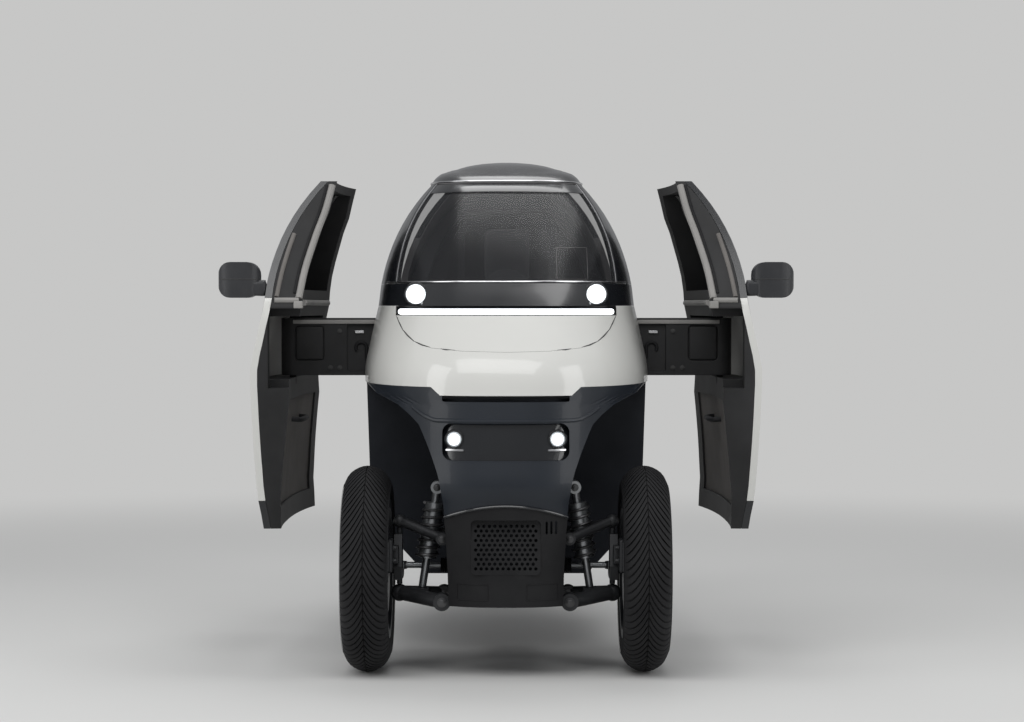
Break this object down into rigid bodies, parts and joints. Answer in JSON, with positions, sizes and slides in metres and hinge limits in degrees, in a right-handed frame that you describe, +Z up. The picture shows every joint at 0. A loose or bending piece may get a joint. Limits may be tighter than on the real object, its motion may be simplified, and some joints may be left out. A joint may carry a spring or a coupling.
{
  "type": "three wheeled car",
  "caption": "Narrow enclosed electric car with two steered front wheels, one rear wheel and doors that open parallel to the body on wide hinge arms.",
  "frame": {"origin": "on the ground, in the middle of the overall length and width", "axes": "+Z up, -Y forward, +X to the car's left"},
  "size_m": [1.6602, 2.2803, 1.485],
  "materials": {
    "white_paint": "gloss",
    "navy_paint": "satin",
    "dark_shell": "satin",
    "gloss_black": "gloss",
    "black_plastic": "matte",
    "cabin_plastic": "matte",
    "arm_grey": "matte",
    "card_grey": "matte",
    "mirror_grey": "satin",
    "clear_glass": "clear",
    "dark_glass": "tinted",
    "lamp_lens": "clear",
    "red_lens": "gloss",
    "seat_cloth": "woven",
    "grip_leather": "grained",
    "battery_case": "matte",
    "cast_metal": "painted",
    "steel": "satin",
    "rim_metal": "painted dark",
    "tyre_rubber": "matte",
    "light_strip": "glowing"
  },
  "bodies": {
    "chassis": {"tub": "dark_shell", "rear_hoop": "cabin_plastic", "nose_core": "dark_shell", "fascia": "navy_paint", "grille_panel": "black_plastic", "grille_mesh": "black_plastic", "lamp_tray": "gloss_black", "lower_lamps": "lamp_lens", "cowl": "white_paint", "nose_panel": "white_paint", "lamp_band": "gloss_black", "light_bar": "light_strip", "upper_lamps": "lamp_lens", "windscreen": "clear_glass", "pillars": "gloss_black", "roof": "gloss_black", "rear_body": "white_paint", "rear_canopy": "gloss_black", "rear_glass": "dark_glass", "tail_lamps": "red_lens", "hinge_posts": "cast_metal", "dashboard": "cabin_plastic", "steering_column": "cabin_plastic", "driver_seat": "seat_cloth", "passenger_seat": "seat_cloth", "battery": "battery_case", "rear_frame": "cast_metal", "suspension_arms": "cast_metal", "front_shocks": "steel", "swing_arm": "cast_metal", "rear_shocks": "steel", "rear_mudguard": "black_plastic"},
    "steering_wheel": {"steering_wheel": "grip_leather"},
    "steering_rack": {"steering_rack": "steel"},
    "left_knuckle": {"left_knuckle": "cast_metal"},
    "right_knuckle": {"right_knuckle": "cast_metal"},
    "left_front_wheel": {"left_tyre": "tyre_rubber", "left_wheel": "rim_metal"},
    "right_front_wheel": {"right_tyre": "tyre_rubber", "right_wheel": "rim_metal"},
    "rear_wheel": {"rear_tyre": "tyre_rubber", "rear_wheel": "rim_metal"},
    "left_arm": {"left_arm": "arm_grey"},
    "left_door": {"left_door_frame": "arm_grey", "left_door_skin": "white_paint", "left_door_trim": "gloss_black", "left_door_glass": "dark_glass", "left_door_card": "card_grey", "left_mirror": "mirror_grey"},
    "right_arm": {"right_arm": "arm_grey"},
    "right_door": {"right_door_frame": "arm_grey", "right_door_skin": "white_paint", "right_door_trim": "gloss_black", "right_door_glass": "dark_glass", "right_door_card": "card_grey", "right_mirror": "mirror_grey"}
  },
  "joints": [
    {"name": "left_steer", "type": "hinge", "parent": "chassis", "child": "left_knuckle", "pos_m": [0.3, -0.85, 0.29], "axis": [0, 0, 1], "range_deg": [-30, 30]},
    {"name": "right_steer", "type": "hinge", "parent": "chassis", "child": "right_knuckle", "pos_m": [-0.3, -0.85, 0.29], "axis": [0, 0, 1], "range_deg": [-30, 30]},
    {"name": "rack_slide", "type": "slide", "parent": "chassis", "child": "steering_rack", "axis": [1, 0, 0], "range_m": [-0.05, 0.05]},
    {"name": "steering_turn", "type": "hinge", "parent": "chassis", "child": "steering_wheel", "pos_m": [0, -0.29, 0.945], "axis": [0, 0.8829, 0.4695], "range_deg": [-180, 180]},
    {"name": "left_wheel_spin", "type": "hinge", "parent": "left_knuckle", "child": "left_front_wheel", "pos_m": [0.389, -0.85, 0.29], "axis": [-1, 0, 0], "continuous": true},
    {"name": "right_wheel_spin", "type": "hinge", "parent": "right_knuckle", "child": "right_front_wheel", "pos_m": [-0.389, -0.85, 0.29], "axis": [-1, 0, 0], "continuous": true},
    {"name": "rear_wheel_spin", "type": "hinge", "parent": "chassis", "child": "rear_wheel", "pos_m": [0, 0.85, 0.235], "axis": [-1, 0, 0], "continuous": true},
    {"name": "left_door_swing", "type": "hinge", "parent": "chassis", "child": "left_arm", "pos_m": [0.33, -0.34, 0.908], "axis": [0, 0, 1], "range_deg": [0, 90]},
    {"name": "left_door_level", "type": "hinge", "parent": "left_arm", "child": "left_door", "pos_m": [0.643, -0.34, 0.908], "axis": [0, 0, 1], "range_deg": [-90, 0]},
    {"name": "right_door_swing", "type": "hinge", "parent": "chassis", "child": "right_arm", "pos_m": [-0.33, -0.34, 0.908], "axis": [0, 0, -1], "range_deg": [0, 90]},
    {"name": "right_door_level", "type": "hinge", "parent": "right_arm", "child": "right_door", "pos_m": [-0.643, -0.34, 0.908], "axis": [0, 0, -1], "range_deg": [-90, 0]}
  ],
  "couplings": [
    {"joint": "right_steer", "follows": "left_steer", "ratio": 1},
    {"joint": "rack_slide", "follows": "left_steer", "m_per_rad": -0.0917},
    {"joint": "steering_turn", "follows": "left_steer", "ratio": 6},
    {"joint": "left_door_level", "follows": "left_door_swing", "ratio": -1},
    {"joint": "right_door_level", "follows": "right_door_swing", "ratio": -1}
  ]
}
